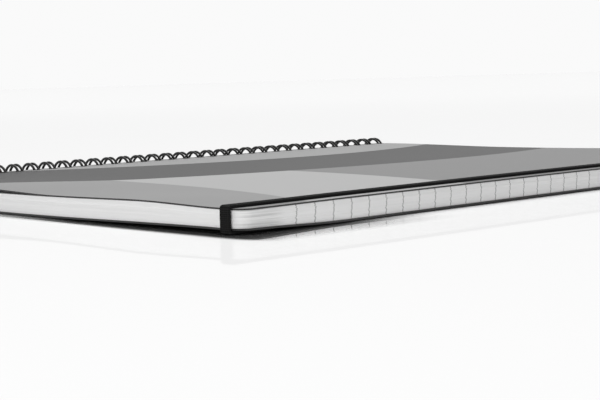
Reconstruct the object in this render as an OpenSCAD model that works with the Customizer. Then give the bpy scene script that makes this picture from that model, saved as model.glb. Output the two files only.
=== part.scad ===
// Wire-bound A4 notebook, closed, lying on its back cover.
// X runs from the spine to the fore-edge, Y along the spine from the bottom edge to the top edge,
// and Z up. The origin is under the middle of the notebook, on the surface that it lies on.

/* [Covers] */
// Width of each cover, from its spine edge to its fore-edge
cover_w = 210; // [150:1:260]
// Length of each cover along the spine
cover_l = 297; // [200:1:360]
// Thickness of each cover
cover_t = 0.5; // [0.3:0.05:0.9]
// Radius of the covers' two corners at the fore-edge
corner_r = 5; // [2:0.5:5]

/* [Pages] */
// Thickness of the pile of sheets
page_t = 5.8; // [4:0.1:8]
// Distance that the covers stand past the sheets on every side
cover_over = 0.5; // [0.2:0.1:1.5]
// Gap between the pile of sheets and each cover
page_gap = 0.05; // [0.02:0.01:0.1]

/* [Holes] */
// Spacing of the holes, three to the inch
pitch = 8.467; // [7.5:0.001:12.7]
// Side of each square hole
hole_w = 4; // [3.8:0.1:4.5]
// Radius of the hole's corners
hole_r = 0.4; // [0.2:0.1:0.8]
// Card left between a hole and the spine edge
hole_margin = 2; // [1.8:0.1:2.2]
// Least distance from the end of the spine to the middle of the first hole
end_margin = 4.3; // [4:0.1:8]
// Gap between the wire and the outer side of a hole
hole_clear = 0.3; // [0.2:0.05:0.5]

/* [Wire binding] */
// Thickness of the coated wire
wire_d = 1.1; // [0.8:0.05:1.3]
// Room inside the rings beyond the thickness of covers and sheets
ring_room = 2.6; // [2.2:0.1:4]
// Gap between the pair of wires and the two ends of a hole
side_clear = 0.35; // [0.2:0.05:0.5]
// Radius of the bends between a ring and the straight link at its foot
bend_r = 1; // [0.8:0.1:1.4]
// Gap between the closed tips and the links
seam_gap = 0.5; // [0.2:0.1:1]
// Place of the links round the ring, in degrees from the pages' side
seam_a = -78; // [-84:1:-76]
// Gap between the rings and the inner edge of the back cover's holes
lift_clear = 0.15; // [0.1:0.05:0.3]

/* [Elastic band] */
// Width of the band
band_w = 4; // [3:0.5:8]
// Thickness of the band
band_t = 1; // [0.6:0.1:1.3]
// Distance from the covers' fore-edge to the band
band_edge = 3.9; // [2.9:0.1:20]
// Gap between the band and the front cover
band_gap = 0.1; // [0.05:0.05:0.3]
// Gap between the band and the ends of the covers
band_end_gap = 0.3; // [0.2:0.05:0.5]
// Inner radius of the band where it turns round a cover's edge
band_bend = 0.4; // [0.2:0.1:1]
// Distance from the end of the back cover to the slot that holds the band
slot_in = 16; // [12:1:60]
// Gap between the band and its slot
slot_clear = 0.2; // [0.1:0.05:0.4]

/* [Bars that hold the band] */
// Length of each bar
bar_l = 8; // [6:0.5:8.5]
// Width of each bar
bar_w = 2.8; // [2.2:0.1:5]
// Height of each bar
bar_h = 0.8; // [0.5:0.1:1.2]
// Depth of the groove that the band's end is pinched in
bar_groove = 0.4; // [0.2:0.05:0.45]
// Room that the sheets leave round each bar
bar_clear = 0.4; // [0.3:0.05:0.8]

/* [Hidden] */
$fn = 48;

// How far a cutting shape runs past the solid that it cuts
cut = 1;

// Rings: the wire's centre line is a circle that all the holes are threaded on
stack_t = page_t + 2 * (cover_t + page_gap);
wire_r = wire_d / 2;
ring_in = (stack_t + ring_room) / 2;
ring_r = ring_in + wire_r;
ring_out = ring_in + wire_d;
tooth_r = hole_w / 2 - side_clear - wire_r;

// Where two bends meet, the coating is a hair thicker, and the bends stop short of its middle
joint_swell = 1.03;
joint_d = joint_swell * wire_d;
joint_gap = 0.08;
link_l = pitch - 2 * (tooth_r + bend_r);
foot_a = seam_a + asin(bend_r / ring_r);
tip_a = seam_a - (wire_d + seam_gap) / ring_r * 180 / PI - asin(tooth_r / ring_r);
arc_a = 360 + tip_a - foot_a;

// The rings stand on the lowest of their tips, links and arcs
tip_drop = -(ring_r * sin(tip_a) + tooth_r * cos(tip_a));
link_drop = -(ring_r * sin(foot_a) - bend_r * cos(foot_a));
ring_z = wire_r + max(tip_drop, link_drop);

// Holes, measured from the rings' axis: their outer side clears the wire at its widest place
hole_near = ring_out + hole_clear - hole_w;
spine_off = hole_near - hole_margin;
ring_x = (ring_out - spine_off - cover_w) / 2;
spine_x = ring_x + spine_off;
fore_x = spine_x + cover_w;
loops = floor((cover_l - 2 * end_margin) / pitch) + 1;
first_y = -(loops - 1) * pitch / 2;

// Levels, from the back cover up: its holes' inner edges stay clear of the rings
level_step = 0.01;
back_low = ring_z - sqrt(pow(ring_in - lift_clear, 2) - pow(hole_near, 2));
back_z = level_step * ceil(max(band_t, back_low) / level_step);
back_top = back_z + cover_t;
page_z = back_top + page_gap;
front_z = page_z + page_t + page_gap;
front_top = front_z + cover_t;

// Elastic band
band_x = fore_x - band_edge - band_w;
band_mid = band_x + band_w / 2;
band_half = cover_l / 2 + band_end_gap;
band_top = front_top + band_gap;
slot_y = cover_l / 2 - slot_in;

// A sheet of paper or card with square corners at the spine and round ones at the fore-edge
module leaf(inset, thickness, radius) {
    w = cover_w - 2 * inset;
    l = cover_l - 2 * inset;
    translate([spine_x + inset, -l / 2, 0])
        linear_extrude(thickness) {
            square([w - radius, l]);
            translate([0, radius])
                square([w, l - 2 * radius]);
            for (y = [radius, l - radius])
                translate([w - radius, y])
                    circle(r = radius);
        }
}

// One square hole with its corners rounded
module square_hole(height) {
    s = hole_w - 2 * hole_r;
    linear_extrude(height) {
        translate([0, -s / 2])
            square([hole_w, s]);
        translate([hole_r, -hole_w / 2])
            square([s, hole_w]);
        for (x = [hole_r, hole_w - hole_r], y = [-s / 2, s / 2])
            translate([x, y])
                circle(r = hole_r, $fn = 16);
    }
}

// The row of holes along the spine, from one level to another
module hole_row(low, high) {
    for (i = [0 : loops - 1])
        translate([ring_x + hole_near, first_y + i * pitch, low])
            square_hole(high - low);
}

// A bar with round ends, lying along X and centred on its slot
module bar_shape(length, width, height) {
    linear_extrude(height) {
        square([length - width, width], center = true);
        for (s = [-1, 1])
            translate([s * (length - width) / 2, 0])
                circle(d = width);
    }
}

// The pile of ruled sheets: the row of holes, and the two dents where the bars press into it
module page_block() {
    color("whitesmoke")
        difference() {
            translate([0, 0, page_z])
                leaf(cover_over, page_t, corner_r - cover_over);
            hole_row(page_z - cut, page_z + page_t + cut);
            for (s = [-1, 1])
                translate([band_mid, s * slot_y, page_z - cut])
                    bar_shape(bar_l + 2 * bar_clear, bar_w + 2 * bar_clear,
                        cut - page_gap + bar_h + bar_clear);
        }
}

// The front cover, printed card
module front_cover() {
    color("silver")
        difference() {
            translate([0, 0, front_z])
                leaf(0, cover_t, corner_r);
            hole_row(front_z - cut, front_top + cut);
        }
}

// The back cover, black card with a slot for each end of the band
module back_cover() {
    color("dimgray")
        difference() {
            translate([0, 0, back_z])
                leaf(0, cover_t, corner_r);
            hole_row(back_z - cut, back_top + cut);
            for (s = [-1, 1])
                translate([band_mid, s * slot_y, back_z + cover_t / 2])
                    cube([band_w + 2 * slot_clear, band_t + 2 * slot_clear, 2 * cover_t], center = true);
        }
}

// Places its children on the ring at one angle: X points away from the axis, Z round the ring
module on_ring(angle) {
    rotate([0, -angle, 0])
        translate([ring_r, 0, 0])
            children();
}

// A bend of wire in the plane that touches the ring, short of its two joints
module bend(radius, from, sweep) {
    short = joint_gap / radius * 180 / PI;
    rotate([0, 90, 0])
        rotate([0, 0, from + short])
            rotate_extrude(angle = sweep - 2 * short)
                translate([radius, 0])
                    circle(d = wire_d, $fn = 24);
}

// Where two bends meet, the coating is a hair thicker
module joint() {
    sphere(d = joint_d, $fn = 24);
}

// One round of wire through a hole
module ring_arc() {
    short = joint_gap / ring_r * 180 / PI;
    rotate([90, 0, 0])
        rotate([0, 0, foot_a + short])
            rotate_extrude(angle = arc_a - 2 * short)
                translate([ring_r, 0])
                    circle(d = wire_d, $fn = 24);
}

// One tooth: two rounds of wire side by side, joined at the tip by a half turn
module tooth() {
    for (s = [-1, 1]) {
        translate([0, s * tooth_r, 0])
            ring_arc();
        on_ring(tip_a)
            translate([0, s * tooth_r, 0])
                joint();
        on_ring(foot_a)
            translate([0, s * tooth_r, 0])
                joint();
    }
    on_ring(tip_a)
        bend(tooth_r, 90, 180);
}

// The foot between two teeth: a bend, a straight link and a bend back
module foot() {
    on_ring(foot_a) {
        translate([0, tooth_r + bend_r, 0])
            bend(bend_r, -90, 90);
        for (y = [tooth_r + bend_r, pitch - tooth_r - bend_r])
            translate([0, y, -bend_r])
                joint();
        translate([0, tooth_r + bend_r + joint_gap, -bend_r])
            rotate([-90, 0, 0])
                cylinder(d = wire_d, h = link_l - 2 * joint_gap, $fn = 24);
        translate([0, pitch - tooth_r - bend_r, 0])
            bend(bend_r, 0, 90);
    }
}

// The binding: one coated wire, bent to a row of teeth and closed to rings
module wire_binding() {
    color("black")
        for (i = [0 : loops - 1])
            translate([ring_x, first_y + i * pitch, ring_z]) {
                tooth();
                if (i < loops - 1)
                    foot();
            }
}

// Outline of a band with round corners, seen along X and centred on Y
module band_outline(half, low, high, radius) {
    for (s = [-1, 1], z = [low + radius, high - radius])
        translate([s * (half - radius), z])
            circle(r = radius, $fn = 32);
    translate([-half + radius, low])
        square([2 * (half - radius), high - low]);
    translate([-half, low + radius])
        square([2 * half, high - low - 2 * radius]);
}

// The elastic band: over the front cover, round both ends, and up through the back cover's slots
module elastic_band() {
    outer_r = band_bend + band_t;
    color("#1c1c1c")
        translate([band_x, 0, 0])
            rotate([90, 0, 90])
                linear_extrude(band_w)
                    difference() {
                        band_outline(band_half + band_t, back_z - band_t, band_top + band_t, outer_r);
                        difference() {
                            band_outline(band_half, back_z, band_top, band_bend);
                            for (s = [-1, 1])
                                translate([s * slot_y - band_t / 2, back_z - cut])
                                    square([band_t, cut + cover_t + bar_groove]);
                        }
                        translate([-slot_y + band_t / 2, back_z - band_t - cut])
                            square([2 * slot_y - band_t, band_t + cover_t + bar_groove + 2 * cut]);
                    }
}

// A metal bar pinched on the band's end, lying across the slot inside the back cover
module elastic_bar() {
    color("gray")
        difference() {
            bar_shape(bar_l, bar_w, bar_h);
            translate([0, 0, (bar_groove - cut) / 2])
                cube([band_w, band_t, bar_groove + cut], center = true);
        }
}

module elastic_bar_bottom() {
    translate([band_mid, -slot_y, back_top])
        elastic_bar();
}

module elastic_bar_top() {
    translate([band_mid, slot_y, back_top])
        elastic_bar();
}

page_block();
front_cover();
back_cover();
wire_binding();
elastic_band();
elastic_bar_bottom();
elastic_bar_top();
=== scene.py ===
import math
import random

import bmesh
import bpy
from mathutils import Matrix, Vector


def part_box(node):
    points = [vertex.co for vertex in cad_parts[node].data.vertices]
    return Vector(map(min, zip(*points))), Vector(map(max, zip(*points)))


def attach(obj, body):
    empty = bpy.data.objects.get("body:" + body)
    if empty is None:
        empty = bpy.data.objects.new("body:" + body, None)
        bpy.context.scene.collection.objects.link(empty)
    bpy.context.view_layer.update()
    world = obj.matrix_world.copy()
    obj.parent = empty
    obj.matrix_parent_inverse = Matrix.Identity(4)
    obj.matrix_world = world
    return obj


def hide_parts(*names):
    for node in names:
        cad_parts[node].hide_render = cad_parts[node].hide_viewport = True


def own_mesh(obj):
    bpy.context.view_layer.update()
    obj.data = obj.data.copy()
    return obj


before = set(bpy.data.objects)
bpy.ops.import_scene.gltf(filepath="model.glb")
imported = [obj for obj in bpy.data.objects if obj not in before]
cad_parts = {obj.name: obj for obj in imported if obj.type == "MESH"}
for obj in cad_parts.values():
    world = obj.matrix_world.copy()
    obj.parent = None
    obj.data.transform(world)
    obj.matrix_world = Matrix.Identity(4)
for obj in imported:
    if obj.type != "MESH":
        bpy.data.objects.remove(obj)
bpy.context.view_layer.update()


# Camera: it looks along the table at the notebook's near corner, where the bottom edge
# meets the fore-edge. The picture is cut from a wider one, so the lens is shifted sideways.
scene = bpy.context.scene
scene.view_settings.view_transform = "Standard"

camera = bpy.data.objects.new("camera", bpy.data.cameras.new("camera"))
scene.collection.objects.link(camera)
scene.camera = camera
camera.data.sensor_width = 36
camera.data.lens = 84.11
camera.data.shift_x = 1 / 6
camera.data.clip_start = 0.01
turn = math.radians(-48.815)
dip = math.radians(4.783)
tilt = math.radians(1.732)
ahead = Vector((math.sin(turn) * math.cos(dip), math.cos(turn) * math.cos(dip), -math.sin(dip)))
level_right = Vector((math.cos(turn), -math.sin(turn), 0))
level_up = level_right.cross(ahead)
picture_right = level_right * math.cos(tilt) - level_up * math.sin(tilt)
picture_up = level_right * math.sin(tilt) + level_up * math.cos(tilt)
cover_fore_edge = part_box("front_cover")[1][0]
eye = Vector((cover_fore_edge + 0.29069, -0.41823, 0.04382))
aim = Matrix((picture_right, picture_up, -ahead)).transposed().to_4x4()
camera.matrix_world = Matrix.Translation(eye) @ aim


# Floor and light: a white table top in a white room, a broad soft light from behind and above,
# and a long softbox low behind the camera, which the table top doesn't mirror. It mirrors the
# notebook faintly, and clearly only beside the lifted corners.
reach = 60
floor_mesh = bpy.data.meshes.new("table_top")
floor_mesh.from_pydata(
    [(-reach, -reach, 0), (reach, -reach, 0), (reach, reach, 0), (-reach, reach, 0)], [], [(0, 1, 2, 3)]
)
floor = bpy.data.objects.new("table_top", floor_mesh)
scene.collection.objects.link(floor)
floor_finish = bpy.data.materials.new("white_table_top")
floor_finish.use_nodes = True
floor_nodes = floor_finish.node_tree.nodes
floor_links = floor_finish.node_tree.links
floor_nodes.remove(floor_nodes["Principled BSDF"])
matt_part = floor_nodes.new("ShaderNodeBsdfDiffuse")
polish = floor_nodes.new("ShaderNodeBsdfGlossy")
polish.inputs["Color"].default_value = (1, 1, 1, 1)
polish.inputs["Roughness"].default_value = 0.03
polished = floor_nodes.new("ShaderNodeMixShader")
floor_place = floor_nodes.new("ShaderNodeTexCoord")
cover_low = Vector(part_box("front_cover")[0])
cover_high = Vector(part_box("front_cover")[1])
cover_half = (cover_high - cover_low) / 2


def floor_vector(operation, source, value=None):
    """One step of vector maths in the table top's material."""
    step = floor_nodes.new("ShaderNodeVectorMath")
    step.operation = operation
    floor_links.new(source, step.inputs[0])
    if isinstance(value, (tuple, Vector)):
        step.inputs[1].default_value = value
    elif value is not None:
        floor_links.new(value, step.inputs[1])
    return step.outputs["Value"] if operation == "LENGTH" else step.outputs["Vector"]


def eased(nodes, links, source, start, end, start_value, end_value):
    """A value that goes smoothly from one to the other while the source goes from start to end."""
    step = nodes.new("ShaderNodeMapRange")
    step.interpolation_type = "SMOOTHSTEP"
    step.inputs["From Min"].default_value = start
    step.inputs["From Max"].default_value = end
    step.inputs["To Min"].default_value = start_value
    step.inputs["To Max"].default_value = end_value
    links.new(source, step.inputs["Value"])
    return step


# Distances on the table top: from the notebook's outline, counted double across its short
# edges, and from the nearer corner of its fore-edge.
from_middle = floor_vector("SUBTRACT", floor_place.outputs["Object"], (cover_low + cover_high) / 2)
past_edge = floor_vector("SUBTRACT", floor_vector("ABSOLUTE", from_middle), cover_half)
outside = floor_vector("MAXIMUM", past_edge, (0, 0, 0))
from_outline = floor_vector("LENGTH", floor_vector("MULTIPLY", outside, (1, 2.2, 0)))
mirrored_end = floor_vector("MULTIPLY", from_middle, (1, -1, 1))
past_corner = floor_vector("SUBTRACT", floor_vector("MAXIMUM", from_middle, mirrored_end), cover_half)
from_corner = floor_vector("LENGTH", floor_vector("MULTIPLY", past_corner, (0.5, 1, 0)))

# How much the table top mirrors, and how white it is: a little whiter far away, where it has to
# meet the room's white without an edge.
high_polish = 0.96
plain_polish = 0.11
by_corner = eased(floor_nodes, floor_links, from_corner, 0.038, 0.085, high_polish, 0.10)
shine = eased(floor_nodes, floor_links, from_outline, 0.010, 0.021, high_polish, plain_polish)
white = eased(floor_nodes, floor_links, floor_vector("LENGTH", from_middle), 0.6, 2.6, 0.87, 0.907)
floor_links.new(by_corner.outputs["Result"], shine.inputs["To Min"])
floor_links.new(white.outputs["Result"], matt_part.inputs["Color"])
floor_links.new(shine.outputs["Result"], polished.inputs["Fac"])
floor_links.new(matt_part.outputs[0], polished.inputs[1])
floor_links.new(polish.outputs[0], polished.inputs[2])
floor_links.new(polished.outputs[0], floor_nodes["Material Output"].inputs["Surface"])
floor_mesh.materials.append(floor_finish)

room = bpy.data.worlds.new("white_room")
scene.world = room
room.use_nodes = True
room_nodes = room.node_tree.nodes
room_links = room.node_tree.links
backdrop = room_nodes["Background"]
rays = room_nodes.new("ShaderNodeLightPath")
seen = rays.outputs["Is Camera Ray"]
for ray in ("Is Glossy Ray", "Is Transmission Ray"):
    either = room_nodes.new("ShaderNodeMath")
    either.operation = "MAXIMUM"
    room_links.new(seen, either.inputs[0])
    room_links.new(rays.outputs[ray], either.inputs[1])
    seen = either.outputs[0]
level = room_nodes.new("ShaderNodeMapRange")
level.inputs["To Min"].default_value = 0.28
level.inputs["To Max"].default_value = 0.955
room_links.new(seen, level.inputs["Value"])
room_links.new(level.outputs["Result"], backdrop.inputs["Strength"])
backdrop.inputs["Color"].default_value = (1, 1, 1, 1)

overhead = bpy.data.objects.new("overhead", bpy.data.lights.new("overhead", "SUN"))
overhead.data.energy = 2.6
overhead.data.angle = math.radians(50)
overhead.rotation_mode = "QUATERNION"
overhead.rotation_quaternion = Vector((0.30, -0.50, -1.40)).to_track_quat("-Z", "Y")
scene.collection.objects.link(overhead)

softbox = bpy.data.objects.new("softbox", bpy.data.lights.new("softbox", "AREA"))
softbox.data.shape = "RECTANGLE"
softbox.data.size = 0.8
softbox.data.size_y = 0.3
softbox.data.energy = 7.6
softbox.location = (0.75, -1.35, 0.2)
softbox.visible_glossy = False
softbox.rotation_mode = "QUATERNION"
towards_corner = Vector((0.1, -0.12, 0.0)) - softbox.location
softbox.rotation_quaternion = towards_corner.to_track_quat("-Z", "Y")
scene.collection.objects.link(softbox)


# Pages: about 58 ruled sheets of white paper, punched along the spine. Their weight lets them
# down on the table past the rings, but the elastic's ends hold both fore-edge corners up and
# squeeze them. The ruled lines run off the fore-edge and show there as ticks.
sheets = 58
stack_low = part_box("page_block")[0][2]
stack_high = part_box("page_block")[1][2]
spine_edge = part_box("page_block")[0][0]
fore_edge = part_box("page_block")[1][0]
tail_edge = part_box("page_block")[1][1]
band_middle = (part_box("elastic_band")[0][0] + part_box("elastic_band")[1][0]) / 2
first_line = -0.12571
last_line = 0.1405
line_pitch = 0.008
fore_low = 0.00085
fore_thick = 0.0064
middle_bow = 0.0002
corner_lift = 0.00095
elastic_squeeze = 0.0011
cover_slit = 0.0011
slit_x = -0.030


def fall(distance, reach):
    """1 at no distance, 0 from the reach on, and a smooth slope between."""
    return 0.5 + 0.5 * math.cos(math.pi * min(max(distance / reach, 0.0), 1.0))


def settled(x, y, z):
    """Where a point of the flat stack comes to lie."""
    from_end = tail_edge - abs(y)
    from_band = max(band_middle - x, 0.0)
    lift = fall(math.hypot(from_band * 0.42, from_end), 0.045)
    press = fall(math.hypot(from_band, from_end), 0.046)
    bow = math.cos(math.pi / 2 * min(abs(y) / tail_edge, 1.0)) ** 2
    low = fore_low + middle_bow * bow + corner_lift * lift
    thick = fore_thick - elastic_squeeze * press
    past_rings = 1 - fall(x - spine_edge - 0.007, 0.080)
    flat_thick = stack_high - stack_low
    low = stack_low + past_rings * (low - stack_low)
    thick = flat_thick + past_rings * (thick - flat_thick)
    if z < stack_low:
        return low + z - stack_low
    if z > stack_high:
        slit = fall(math.hypot(x - slit_x, 0.7 * (y + tail_edge)), 0.050)
        return low + thick + z - stack_high + cover_slit * slit
    return low + thick * (z - stack_low) / flat_thick


def flat_copy(node, step_x, step_y):
    """A merged copy of a flat CAD piece, cut crosswise so that it can bend."""
    shape = bmesh.new()
    shape.from_mesh(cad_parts[node].data)
    bmesh.ops.remove_doubles(shape, verts=shape.verts, dist=1e-6)
    low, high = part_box(node)
    for axis, step in ((0, step_x), (1, step_y)):
        count = int((high[axis] - low[axis]) / step)
        for i in range(1, count + 1):
            at = Vector((0, 0, 0))
            at[axis] = low[axis] + i * (high[axis] - low[axis]) / (count + 1)
            way = Vector((0, 0, 0))
            way[axis] = 1
            bmesh.ops.bisect_plane(
                shape, geom=shape.verts[:] + shape.edges[:] + shape.faces[:], plane_co=at, plane_no=way
            )
    return shape


def piece_from(shape, name, materials, smooth_angle=30):
    """A finished object from a bmesh, with smooth shading between its sharp edges."""
    mesh = bpy.data.meshes.new(name)
    shape.to_mesh(mesh)
    shape.free()
    for finish in materials:
        mesh.materials.append(finish)
    mesh.shade_smooth()
    mesh.set_sharp_from_angle(angle=math.radians(smooth_angle))
    made = bpy.data.objects.new(name, mesh)
    scene.collection.objects.link(made)
    return made


def maths(nodes, links, operation, *values):
    """One step of maths in a material, from numbers and from other steps."""
    step = nodes.new("ShaderNodeMath")
    step.operation = operation
    for socket, value in zip(step.inputs, values):
        if isinstance(value, (int, float)):
            socket.default_value = value
        else:
            links.new(value, socket)
    return step.outputs[0]


paper = bpy.data.materials.new("ruled_paper")
paper.use_nodes = True
nodes, links = paper.node_tree.nodes, paper.node_tree.links
place = nodes.new("ShaderNodeTexCoord")
split = nodes.new("ShaderNodeSeparateXYZ")
links.new(place.outputs["Object"], split.inputs[0])
height = nodes.new("ShaderNodeAttribute")
height.attribute_name = "height_share"
sheet_number = maths(nodes, links, "FLOOR", maths(nodes, links, "MULTIPLY", height.outputs["Fac"], sheets))
own_shift = nodes.new("ShaderNodeTexWhiteNoise")
own_shift.noise_dimensions = "1D"
links.new(sheet_number, own_shift.inputs["W"])
drift = nodes.new("ShaderNodeTexNoise")
drift.noise_dimensions = "1D"
drift.inputs["Scale"].default_value = 0.08
links.new(sheet_number, drift.inputs["W"])
wander = maths(
    nodes,
    links,
    "MULTIPLY_ADD",
    drift.outputs[0],
    0.0022,
    maths(nodes, links, "MULTIPLY", own_shift.outputs["Value"], 0.0003),
)
mean_wander = 0.00125
along = maths(nodes, links, "ADD", split.outputs["Y"], wander)
along = maths(nodes, links, "SUBTRACT", along, first_line + mean_wander)
nearest = maths(nodes, links, "PINGPONG", along, line_pitch / 2)
inked = eased(nodes, links, nearest, 0.00012, 0.00030, 1, 0)
below_head = maths(nodes, links, "GREATER_THAN", split.outputs["Y"], first_line - 0.002)
above_foot = maths(nodes, links, "LESS_THAN", split.outputs["Y"], last_line)
facing = nodes.new("ShaderNodeSeparateXYZ")
links.new(place.outputs["Normal"], facing.inputs[0])
not_end = maths(nodes, links, "LESS_THAN", maths(nodes, links, "ABSOLUTE", facing.outputs["Y"]), 0.5)
ink = maths(
    nodes,
    links,
    "MULTIPLY",
    maths(nodes, links, "MULTIPLY", inked.outputs["Result"], not_end),
    maths(nodes, links, "MULTIPLY", below_head, above_foot),
)
strength = maths(nodes, links, "MULTIPLY_ADD", own_shift.outputs["Value"], 0.4, 0.5)
ink = maths(nodes, links, "MULTIPLY", ink, strength)
# Painted shade: noise streaks along the sheets make the paper's colour up to about 5% darker, in place of
# the shade between uneven sheet edges. On the fore-edge near both ends, where the elastic fans the sheets,
# the painted shade goes up to about two fifths darker.
layers = nodes.new("ShaderNodeCombineXYZ")
links.new(maths(nodes, links, "MULTIPLY", split.outputs["X"], 18), layers.inputs["X"])
links.new(maths(nodes, links, "MULTIPLY", split.outputs["Y"], 18), layers.inputs["Y"])
links.new(maths(nodes, links, "MULTIPLY", height.outputs["Fac"], 9), layers.inputs["Z"])
painted_shade_streaks = nodes.new("ShaderNodeTexNoise")
painted_shade_streaks.inputs["Scale"].default_value = 1.0
painted_shade_streaks.inputs["Detail"].default_value = 3
links.new(layers.outputs[0], painted_shade_streaks.inputs["Vector"])
shade = nodes.new("ShaderNodeMapRange")
shade.inputs["From Min"].default_value = 0.3
shade.inputs["From Max"].default_value = 0.7
shade.inputs["To Max"].default_value = 1.0
links.new(painted_shade_streaks.outputs[0], shade.inputs["Value"])
from_mid_length = maths(nodes, links, "ABSOLUTE", split.outputs["Y"])
near_corner = eased(nodes, links, from_mid_length, 0.129, 0.137, 0, 0.36)
on_fore_edge = maths(nodes, links, "ABSOLUTE", facing.outputs["X"])
fanned_painted_shade = maths(nodes, links, "MULTIPLY", near_corner.outputs["Result"], on_fore_edge)
links.new(maths(nodes, links, "SUBTRACT", 0.945, fanned_painted_shade), shade.inputs["To Min"])
sheet_colour = nodes.new("ShaderNodeMix")
sheet_colour.data_type = "RGBA"
sheet_colour.inputs[6].default_value = (0.82, 0.82, 0.82, 1)
sheet_colour.inputs[7].default_value = (0.16, 0.16, 0.16, 1)
links.new(ink, sheet_colour.inputs[0])
shaded = nodes.new("ShaderNodeVectorMath")
shaded.operation = "SCALE"
links.new(sheet_colour.outputs[2], shaded.inputs[0])
links.new(shade.outputs["Result"], shaded.inputs["Scale"])
paper_shader = nodes["Principled BSDF"]
paper_shader.inputs["Roughness"].default_value = 0.85
paper_shader.inputs["Specular IOR Level"].default_value = 0.25
links.new(shaded.outputs[0], paper_shader.inputs["Base Color"])


def on_outside(point):
    """Whether a side face belongs to the pile's outline and not to a hole."""
    past_holes = point.x - spine_edge > 0.009
    on_spine_edge = point.x - spine_edge < 0.0005
    on_end = abs(point.y) > tail_edge - 0.0003
    return past_holes or on_spine_edge or on_end


block = flat_copy("page_block", 0.0080, 0.0074)
for i in range(1, sheets):
    outer = [f for f in block.faces if abs(f.normal.z) < 0.5 and on_outside(f.calc_center_median())]
    edges = {e for f in outer for e in f.edges}
    verts = {v for f in outer for v in f.verts}
    bmesh.ops.bisect_plane(
        block,
        geom=list(verts) + list(edges) + outer,
        plane_co=(0, 0, stack_low + i * (stack_high - stack_low) / sheets),
        plane_no=(0, 0, 1),
    )
chance = random.Random(5)
slide = [0.0]
for i in range(sheets):
    slide.append(0.86 * slide[-1] + chance.uniform(-0.00003, 0.00003))
share_layer = block.verts.layers.float.new("height_share")
for v in block.verts:
    share = (v.co.z - stack_low) / (stack_high - stack_low)
    v[share_layer] = share
    own = slide[min(max(round(share * sheets), 0), sheets)]
    wave = 0.6 + 0.4 * math.sin(v.co.y * 31 + v.co.x * 17 + share * 9)
    if v.co.x > fore_edge - 0.0046:
        v.co.x += own * wave - 0.0001
    if abs(v.co.y) > tail_edge - 0.0001:
        v.co.y += math.copysign(own * wave - 0.0001, v.co.y)
for v in block.verts:
    v.co.z = settled(v.co.x, v.co.y, v.co.z)
pages = piece_from(block, "pages", [paper], 60)
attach(pages, "pages")
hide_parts("page_block")


# Front cover: thin card with a satin laminate over a print of broad grey fields. Its cut edge
# and its inside are black, and it is punched with the same row of square holes as the sheets.
def card_finish(name, colour, roughness, grain_depth):
    """Card with a fine grain, and the parts of its material that a print needs."""
    finish = bpy.data.materials.new(name)
    finish.use_nodes = True
    nodes, links = finish.node_tree.nodes, finish.node_tree.links
    shader = nodes["Principled BSDF"]
    shader.inputs["Base Color"].default_value = (*colour, 1)
    shader.inputs["Roughness"].default_value = roughness
    place = nodes.new("ShaderNodeTexCoord")
    grain = nodes.new("ShaderNodeTexNoise")
    grain.inputs["Scale"].default_value = 2600
    grain.inputs["Detail"].default_value = 2
    links.new(place.outputs["Object"], grain.inputs["Vector"])
    relief = nodes.new("ShaderNodeBump")
    relief.inputs["Strength"].default_value = 0.35
    relief.inputs["Distance"].default_value = grain_depth
    links.new(grain.outputs[0], relief.inputs["Height"])
    links.new(relief.outputs[0], shader.inputs["Normal"])
    return finish, nodes, links, shader, place


field = bpy.data.node_groups.new("printed_round_field", "ShaderNodeTree")
field.interface.new_socket("Place", in_out="INPUT", socket_type="NodeSocketVector")
field.interface.new_socket("Middle", in_out="INPUT", socket_type="NodeSocketVector")
field.interface.new_socket("Radius", in_out="INPUT", socket_type="NodeSocketFloat")
field.interface.new_socket("Inside", in_out="OUTPUT", socket_type="NodeSocketFloat")
field_in = field.nodes.new("NodeGroupInput")
field_out = field.nodes.new("NodeGroupOutput")
flatten = field.nodes.new("ShaderNodeVectorMath")
flatten.operation = "MULTIPLY"
flatten.inputs[1].default_value = (1, 1, 0)
field.links.new(field_in.outputs["Place"], flatten.inputs[0])
to_middle = field.nodes.new("ShaderNodeVectorMath")
to_middle.operation = "DISTANCE"
field.links.new(flatten.outputs[0], to_middle.inputs[0])
field.links.new(field_in.outputs["Middle"], to_middle.inputs[1])
inside = maths(field.nodes, field.links, "SUBTRACT", field_in.outputs["Radius"], to_middle.outputs["Value"])
soft_edge = eased(field.nodes, field.links, inside, -0.0003, 0.0003, 0, 1)
field.links.new(soft_edge.outputs["Result"], field_out.inputs["Inside"])

print_finish, nodes, links, print_shader, place = card_finish(
    "printed_laminate", (0.4, 0.4, 0.4), 0.5, 0.00001
)
print_shader.inputs["Specular IOR Level"].default_value = 0.1
tone = None
for middle, radius, grey in (
    ((-0.02, -0.42, 0), 0.395, 0.37),
    ((-0.02, -0.42, 0), 0.325, 0.24),
    ((-0.33, 0.06, 0), 0.345, 0.04),
    ((-0.33, 0.06, 0), 0.275, 0.28),
    ((-0.20, -0.24, 0), 0.150, 0.37),
    ((-0.20, -0.24, 0), 0.115, 0.08),
    ((0.26, 0.26, 0), 0.235, 0.36),
    ((0.26, 0.26, 0), 0.170, 0.12),
):
    spot = nodes.new("ShaderNodeGroup")
    spot.node_tree = field
    spot.inputs["Middle"].default_value = middle
    spot.inputs["Radius"].default_value = radius
    links.new(place.outputs["Object"], spot.inputs["Place"])
    lay = nodes.new("ShaderNodeMix")
    lay.data_type = "RGBA"
    if tone is None:
        lay.inputs[6].default_value = (0.18, 0.18, 0.18, 1)
    else:
        links.new(tone, lay.inputs[6])
    lay.inputs[7].default_value = (grey, grey, grey, 1)
    links.new(spot.outputs["Inside"], lay.inputs[0])
    tone = lay.outputs[2]
links.new(tone, print_shader.inputs["Base Color"])

black_card = card_finish("black_card", (0.018, 0.018, 0.018), 0.6, 0.00002)[0]

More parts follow.
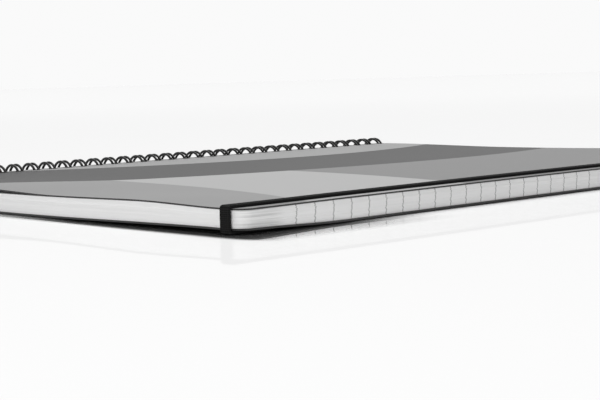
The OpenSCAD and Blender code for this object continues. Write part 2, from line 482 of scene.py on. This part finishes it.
cover_shape = flat_copy("front_cover", 0.0080, 0.0074)
for f in cover_shape.faces:
    f.material_index = 0 if f.normal.z > 0.5 else 1
for v in cover_shape.verts:
    v.co.z = settled(v.co.x, v.co.y, v.co.z)
front = piece_from(cover_shape, "cover_front", [print_finish, black_card])
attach(front, "front")
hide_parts("front_cover")


# Back cover: the same card in plain black, with two slots for the elastic's ends.
# It lies on the table beyond the rings.
cover_shape = flat_copy("back_cover", 0.0080, 0.0074)
for v in cover_shape.verts:
    v.co.z = settled(v.co.x, v.co.y, v.co.z)
back = piece_from(cover_shape, "cover_back", [black_card])
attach(back, "back")
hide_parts("back_cover")


# Wire binding: one steel wire in a black nylon coat, bent to 35 long teeth, pushed through the
# holes and rolled shut to rings. The tips lie against the links, under the back cover.
teeth = 35
tooth_pitch = 0.008467
wire_thick = 0.0011
ring_radius = 0.0053
ring_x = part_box("wire_binding")[0][0] + ring_radius + wire_thick / 2
ring_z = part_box("wire_binding")[1][2] - ring_radius - wire_thick / 2
tooth_half = 0.0011
bend = 0.001
foot_angle = math.radians(-67.12)
tip_angle = math.radians(-107.28)


def on_ring(angle, y, round_it=0.0):
    """A point on the ring, moved along the ring's tangent."""
    return Vector(
        (
            ring_x + ring_radius * math.cos(angle) - round_it * math.sin(angle),
            y,
            ring_z + ring_radius * math.sin(angle) + round_it * math.cos(angle),
        )
    )


# One tooth: a bend from the link, up and over the ring, round the tip, back, and a bend again.
# The wire begins and ends in the middle of a foot, so the first and the last bend are cut off.
steps = 44
sweep = 2 * math.pi + tip_angle - foot_angle
route = []
for tooth in range(teeth):
    middle = (tooth - (teeth - 1) / 2) * tooth_pitch
    before = middle - tooth_half
    after = middle + tooth_half
    for i in range(1, 5):
        a = math.pi / 2 * i / 4
        route.append(on_ring(foot_angle, before - bend + bend * math.sin(a), -bend * math.cos(a)))
    for i in range(1, steps):
        route.append(on_ring(foot_angle + sweep * i / steps, before))
    for i in range(0, 9):
        a = math.pi * i / 8
        route.append(on_ring(tip_angle, middle - tooth_half * math.cos(a), tooth_half * math.sin(a)))
    for i in range(steps - 1, 0, -1):
        route.append(on_ring(foot_angle + sweep * i / steps, after))
    for i in range(0, 5):
        a = math.pi / 2 * i / 4
        route.append(on_ring(foot_angle, after + bend - bend * math.cos(a), -bend * math.sin(a)))
route = route[3:-4]

wire_finish = bpy.data.materials.new("black_nylon_coat")
wire_finish.use_nodes = True
nodes, links = wire_finish.node_tree.nodes, wire_finish.node_tree.links
wire_shader = nodes["Principled BSDF"]
wire_shader.inputs["Base Color"].default_value = (0.012, 0.012, 0.012, 1)
wire_shader.inputs["Roughness"].default_value = 0.45
wire_shader.inputs["Specular IOR Level"].default_value = 0.2
place = nodes.new("ShaderNodeTexCoord")
coat = nodes.new("ShaderNodeTexNoise")
coat.inputs["Scale"].default_value = 900
links.new(place.outputs["Object"], coat.inputs["Vector"])
coat_relief = nodes.new("ShaderNodeBump")
coat_relief.inputs["Strength"].default_value = 0.2
coat_relief.inputs["Distance"].default_value = 0.00002
links.new(coat.outputs[0], coat_relief.inputs["Height"])
links.new(coat_relief.outputs[0], wire_shader.inputs["Normal"])

wire_path = bpy.data.curves.new("wire_path", "CURVE")
wire_path.dimensions = "3D"
run = wire_path.splines.new("POLY")
run.points.add(len(route) - 1)
for point, co in zip(run.points, route):
    point.co = (*co, 1)
wire_maker = bpy.data.objects.new("wire_maker", wire_path)
scene.collection.objects.link(wire_maker)
tree = bpy.data.node_groups.new("rolled_wire", "GeometryNodeTree")
tree.interface.new_socket("Path", in_out="INPUT", socket_type="NodeSocketGeometry")
thickness_socket = tree.interface.new_socket(
    "Wire thickness", in_out="INPUT", socket_type="NodeSocketFloat"
)
sides_socket = tree.interface.new_socket("Sides", in_out="INPUT", socket_type="NodeSocketInt")
tree.interface.new_socket("Wire", in_out="OUTPUT", socket_type="NodeSocketGeometry")
tree_in = tree.nodes.new("NodeGroupInput")
tree_out = tree.nodes.new("NodeGroupOutput")
wire_section = tree.nodes.new("GeometryNodeCurvePrimitiveCircle")
half = tree.nodes.new("ShaderNodeMath")
half.operation = "MULTIPLY"
half.inputs[1].default_value = 0.5
tree.links.new(tree_in.outputs["Wire thickness"], half.inputs[0])
tree.links.new(half.outputs[0], wire_section.inputs["Radius"])
tree.links.new(tree_in.outputs["Sides"], wire_section.inputs["Resolution"])
sweep_node = tree.nodes.new("GeometryNodeCurveToMesh")
sweep_node.inputs["Fill Caps"].default_value = True
tree.links.new(tree_in.outputs["Path"], sweep_node.inputs["Curve"])
tree.links.new(wire_section.outputs["Curve"], sweep_node.inputs["Profile Curve"])
whole = tree.nodes.new("GeometryNodeRealizeInstances")
tree.links.new(sweep_node.outputs["Mesh"], whole.inputs["Geometry"])
coated = tree.nodes.new("GeometryNodeSetMaterial")
coated.inputs["Material"].default_value = wire_finish
tree.links.new(whole.outputs["Geometry"], coated.inputs["Geometry"])
tree.links.new(coated.outputs["Geometry"], tree_out.inputs["Wire"])
rolled = wire_maker.modifiers.new("rolled_wire", "NODES")
rolled.node_group = tree
rolled[thickness_socket.identifier] = wire_thick
rolled[sides_socket.identifier] = 10
seen_now = bpy.context.evaluated_depsgraph_get()
wire_mesh = bpy.data.meshes.new_from_object(wire_maker.evaluated_get(seen_now))
wire_mesh.name = "wire_loops"
wire_mesh.shade_smooth()
wire_mesh.set_sharp_from_angle(angle=math.radians(60))
wire = bpy.data.objects.new("wire_loops", wire_mesh)
scene.collection.objects.link(wire)
bpy.data.objects.remove(wire_maker)
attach(wire, "back")
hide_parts("wire_binding")


# Elastic band: a flat black woven band, five ribs wide. It runs along the fore-edge over the
# front cover, turns round both ends and goes up through the back cover's slots to its bars.
band_thick = 0.00098
band_half_width = (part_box("elastic_band")[1][0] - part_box("elastic_band")[0][0]) / 2
end_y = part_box("elastic_band")[1][1] - band_thick
slot_y = (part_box("elastic_bar_top")[0][1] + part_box("elastic_bar_top")[1][1]) / 2
cover_thick = 0.0005
cover_gap = 0.00005
back_low = stack_low - cover_gap - cover_thick
front_high = stack_high + cover_gap + cover_thick
bend_r = 0.0007


def band_level(y):
    """Height of the band's middle above the table, where it lies on the front cover."""
    return settled(band_middle, min(y, tail_edge), front_high) + 0.00003 + band_thick / 2


# The band's way from one bar to the middle of the front cover, as rows of y, z and half the
# thickness. Under the back cover it is pressed flat between card and table.
gap_low = settled(band_middle, slot_y, back_low)
lane = [
    (slot_y, gap_low + cover_thick + 0.0004, 0.0005),
    (slot_y, gap_low, 0.00048),
    (slot_y + 0.0002, gap_low * 0.72, 0.00040),
    (slot_y + 0.0006, gap_low * 0.54, 0.00032),
]
run_start = slot_y + 0.0011
run_end = end_y - 0.0012
for i in range(0, 11):
    y = run_start + (run_end - run_start) * i / 10
    gap = settled(band_middle, min(y, tail_edge), back_low)
    lane.append((y, gap / 2, min(band_thick, gap - 0.00005) / 2))
mid_out = end_y + band_thick / 2
low_mid = lane[-1][1]
high_mid = band_level(end_y)
bend_in = mid_out - bend_r
rise = high_mid - low_mid - 2 * bend_r
for i in range(1, 6):
    a = math.pi / 2 * i / 5
    lane.append((bend_in + bend_r * math.sin(a), low_mid + bend_r * (1 - math.cos(a)), band_thick / 2))
for i in range(1, 8):
    lane.append((mid_out, low_mid + bend_r + rise * i / 8, band_thick / 2))
for i in range(0, 6):
    a = math.pi / 2 * i / 5
    lane.append((bend_in + bend_r * math.cos(a), high_mid - bend_r * (1 - math.sin(a)), band_thick / 2))
for i in range(1, 37):
    y = bend_in * (1 - i / 36)
    lane.append((y, band_level(y), band_thick / 2))
full_lane = [(-y, z, t) for y, z, t in lane] + [(y, z, t) for y, z, t in reversed(lane[:-1])]

# The band's section: five rounded ribs across, thinner at both edges.
ribs = 5
across_steps = ribs * 6
outline = []
for i in range(across_steps + 1):
    across = -1 + 2 * i / across_steps
    rib = abs(math.sin(math.pi * ribs * (across + 1) / 2))
    outline.append((across, 0.80 + 0.20 * rib ** 0.5 if 0 < i < across_steps else 0.55))
section = outline + [(a, -h) for a, h in reversed(outline)]

band_shape = bmesh.new()
uv = band_shape.loops.layers.uv.new("along_band")
rings = []
travel = [0.0]
for k, (y, z, t) in enumerate(full_lane):
    before = Vector(full_lane[max(k - 1, 0)][:2])
    after = Vector(full_lane[min(k + 1, len(full_lane) - 1)][:2])
    way = (after - before).normalized()
    out = Vector((way.y, -way.x))
    if k:
        travel.append(travel[-1] + (Vector((y, z)) - Vector(full_lane[k - 1][:2])).length)
    rings.append(
        [
            band_shape.verts.new((band_middle + a * band_half_width, y + out.x * h * t, z + out.y * h * t))
            for a, h in section
        ]
    )
for k in range(len(rings) - 1):
    for i in range(len(section)):
        j = (i + 1) % len(section)
        f = band_shape.faces.new((rings[k][i], rings[k][j], rings[k + 1][j], rings[k + 1][i]))
        for loop, (u, w) in zip(f.loops, ((k, i), (k, i + 1), (k + 1, i + 1), (k + 1, i))):
            loop[uv].uv = (travel[u], w / len(section))
band_shape.faces.new(rings[0])
band_shape.faces.new(list(reversed(rings[-1])))
bmesh.ops.recalc_face_normals(band_shape, faces=band_shape.faces)

elastic_finish = bpy.data.materials.new("woven_black_elastic")
elastic_finish.use_nodes = True
nodes, links = elastic_finish.node_tree.nodes, elastic_finish.node_tree.links
elastic_shader = nodes["Principled BSDF"]
elastic_shader.inputs["Roughness"].default_value = 0.9
elastic_shader.inputs["Specular IOR Level"].default_value = 0.08
woven = nodes.new("ShaderNodeUVMap")
woven.uv_map = "along_band"
picks = nodes.new("ShaderNodeTexWave")
picks.wave_type = "BANDS"
picks.bands_direction = "X"
picks.inputs["Scale"].default_value = 520
picks.inputs["Distortion"].default_value = 0.6
links.new(woven.outputs["UV"], picks.inputs["Vector"])
yarn_colour = nodes.new("ShaderNodeMix")
yarn_colour.data_type = "RGBA"
yarn_colour.inputs[6].default_value = (0.006, 0.006, 0.006, 1)
yarn_colour.inputs[7].default_value = (0.016, 0.016, 0.016, 1)
links.new(picks.outputs["Fac"], yarn_colour.inputs[0])
links.new(yarn_colour.outputs[2], elastic_shader.inputs["Base Color"])
weave_relief = nodes.new("ShaderNodeBump")
weave_relief.inputs["Strength"].default_value = 0.7
weave_relief.inputs["Distance"].default_value = 0.00008
links.new(picks.outputs["Fac"], weave_relief.inputs["Height"])
links.new(weave_relief.outputs[0], elastic_shader.inputs["Normal"])

elastic = piece_from(band_shape, "elastic", [elastic_finish], 50)
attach(elastic, "back")
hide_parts("elastic_band")
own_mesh(elastic)


# Bars: two small pressed steel bars, pinched on the elastic's ends inside the back cover.
steel = bpy.data.materials.new("pressed_steel")
steel.use_nodes = True
nodes, links = steel.node_tree.nodes, steel.node_tree.links
steel_shader = nodes["Principled BSDF"]
steel_shader.inputs["Base Color"].default_value = (0.5, 0.5, 0.51, 1)
steel_shader.inputs["Metallic"].default_value = 1
place = nodes.new("ShaderNodeTexCoord")
drawn = nodes.new("ShaderNodeMapping")
drawn.inputs["Scale"].default_value = (300, 6000, 6000)
links.new(place.outputs["Object"], drawn.inputs["Vector"])
scratches = nodes.new("ShaderNodeTexNoise")
scratches.inputs["Scale"].default_value = 1
links.new(drawn.outputs[0], scratches.inputs["Vector"])
sheen = nodes.new("ShaderNodeMapRange")
sheen.inputs["To Min"].default_value = 0.25
sheen.inputs["To Max"].default_value = 0.5
links.new(scratches.outputs[0], sheen.inputs["Value"])
links.new(sheen.outputs["Result"], steel_shader.inputs["Roughness"])
for node in ("elastic_bar_bottom", "elastic_bar_top"):
    bar_shape = bmesh.new()
    bar_shape.from_mesh(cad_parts[node].data)
    bmesh.ops.remove_doubles(bar_shape, verts=bar_shape.verts, dist=1e-6)
    drop = gap_low - back_low
    for v in bar_shape.verts:
        v.co.z += drop
    bar = piece_from(bar_shape, node.replace("elastic_", "") + "_steel", [steel])
    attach(bar, "back")
    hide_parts(node)
